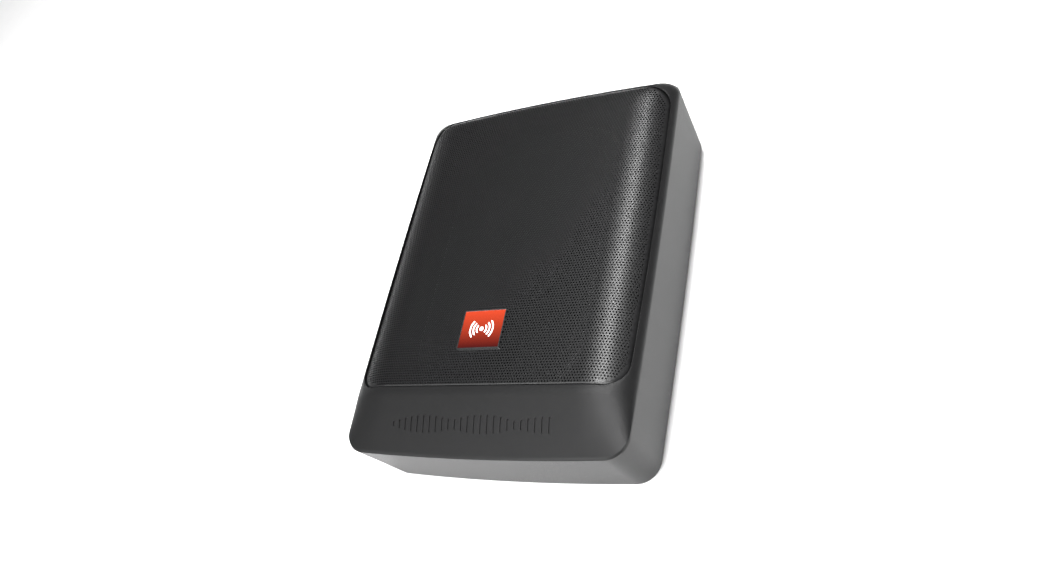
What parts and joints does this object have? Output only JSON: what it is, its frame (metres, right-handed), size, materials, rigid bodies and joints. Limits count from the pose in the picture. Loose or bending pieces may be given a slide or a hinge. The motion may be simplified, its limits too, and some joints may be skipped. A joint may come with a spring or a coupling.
{
  "type": "powered car subwoofer",
  "caption": "Shallow powered subwoofer for a car: cast housing with a domed perforated grille, oblong driver, built-in amplifier and a recessed control bay.",
  "frame": {"origin": "middle of the footprint, in the plane under the rubber feet", "axes": "+Z along the grille's outward normal, +Y towards the control bay, X across the width"},
  "size_m": [0.204, 0.271, 0.07],
  "materials": {
    "housing": "fine textured dark grey powder coat",
    "grille": "satin black paint",
    "black_plastic": "moulded matt black",
    "red_badge": "glossy red",
    "bright_rim": "polished",
    "emblem": "gloss off-white",
    "cover": "matt black powder coat",
    "seal": "foam rubber",
    "screw": "black oxide",
    "zinc": "zinc plated",
    "rubber": "moulded rubber",
    "brass": "turned brass",
    "gold": "gold flash",
    "basket": "black stamped steel",
    "cone_paper": "coated pulp",
    "former": "thin foil",
    "copper": "enamelled copper wire",
    "spider": "resin-treated cloth",
    "steel": "zinc-plated steel",
    "ferrite": "sintered ferrite",
    "board": "green solder mask",
    "aluminium": "machined",
    "chip": "epoxy package",
    "capacitor": "printed sleeve",
    "phenolic": "phenolic paper",
    "lead_red": "soft insulation",
    "white_plastic": "nylon",
    "red_plastic": "nylon",
    "blue_plastic": "translucent",
    "wadding": "polyester fibre"
  },
  "bodies": {
    "housing": {"main_housing": "housing", "grille": "grille", "grille_frame": "black_plastic", "badge_rim": "bright_rim", "badge_face": "red_badge", "badge_emblem": "emblem", "rear_cover": "cover", "rear_cover_seal": "seal", "rear_cover_screws": "screw", "rubber_feet": "rubber", "bracket_inserts": "brass", "driver_gasket": "seal", "driver_basket": "basket", "surround_clamp_ring": "black_plastic", "driver_screws": "screw", "surround": "rubber", "spider": "spider", "top_plate": "steel", "magnet": "ferrite", "back_plate_and_pole": "steel", "terminal_strip": "phenolic", "terminal_tabs": "brass", "speaker_leads": "lead_red", "tinsel_leads": "copper", "amplifier_board": "board", "board_standoffs": "brass", "board_screws": "zinc", "heat_spreaders": "aluminium", "power_transistors": "chip", "transistor_clamps": "zinc", "toroid_cores": "ferrite", "toroid_windings": "copper", "capacitors": "capacitor", "control_chips": "chip", "speaker_plug": "white_plastic", "acoustic_wadding": "wadding", "control_panel": "black_plastic", "panel_screws": "screw", "power_connector": "black_plastic", "power_connector_pins": "gold", "fuse_holder": "black_plastic", "fuse": "blue_plastic", "rca_block": "black_plastic", "rca_shells": "gold", "rca_insert_left": "white_plastic", "rca_insert_right": "red_plastic", "remote_level_jack": "black_plastic", "switch_bodies": "black_plastic", "potentiometers": "zinc", "status_led": "red_plastic"},
    "cone_assembly": {"cone": "cone_paper", "dust_cap": "cone_paper", "voice_coil_former": "former", "voice_coil_winding": "copper"},
    "level_control": {"level_shaft": "aluminium", "level_knob": "black_plastic"},
    "crossover_control": {"crossover_shaft": "aluminium", "crossover_knob": "black_plastic"},
    "phase_lever": {"phase_switch_lever": "black_plastic"},
    "auto_on_lever": {"auto_on_switch_lever": "black_plastic"}
  },
  "joints": [
    {"name": "cone_travel", "type": "slide", "parent": "housing", "child": "cone_assembly", "axis": [0, 0, 1], "range_m": [-0.005, 0.005], "stiffness_N_per_m": 4000, "deforming": ["surround", "spider", "tinsel_leads"]},
    {"name": "level_turn", "type": "hinge", "parent": "housing", "child": "level_control", "pos_m": [0.0545, 0.1235, 0.025], "axis": [0, 1, 0], "range_deg": [-140, 140]},
    {"name": "crossover_turn", "type": "hinge", "parent": "housing", "child": "crossover_control", "pos_m": [0.0685, 0.1235, 0.025], "axis": [0, 1, 0], "range_deg": [-140, 140]},
    {"name": "phase_slide", "type": "slide", "parent": "housing", "child": "phase_lever", "axis": [1, 0, 0], "range_m": [0, 0.004]},
    {"name": "auto_on_slide", "type": "slide", "parent": "housing", "child": "auto_on_lever", "axis": [1, 0, 0], "range_m": [-0.002, 0.002]}
  ]
}
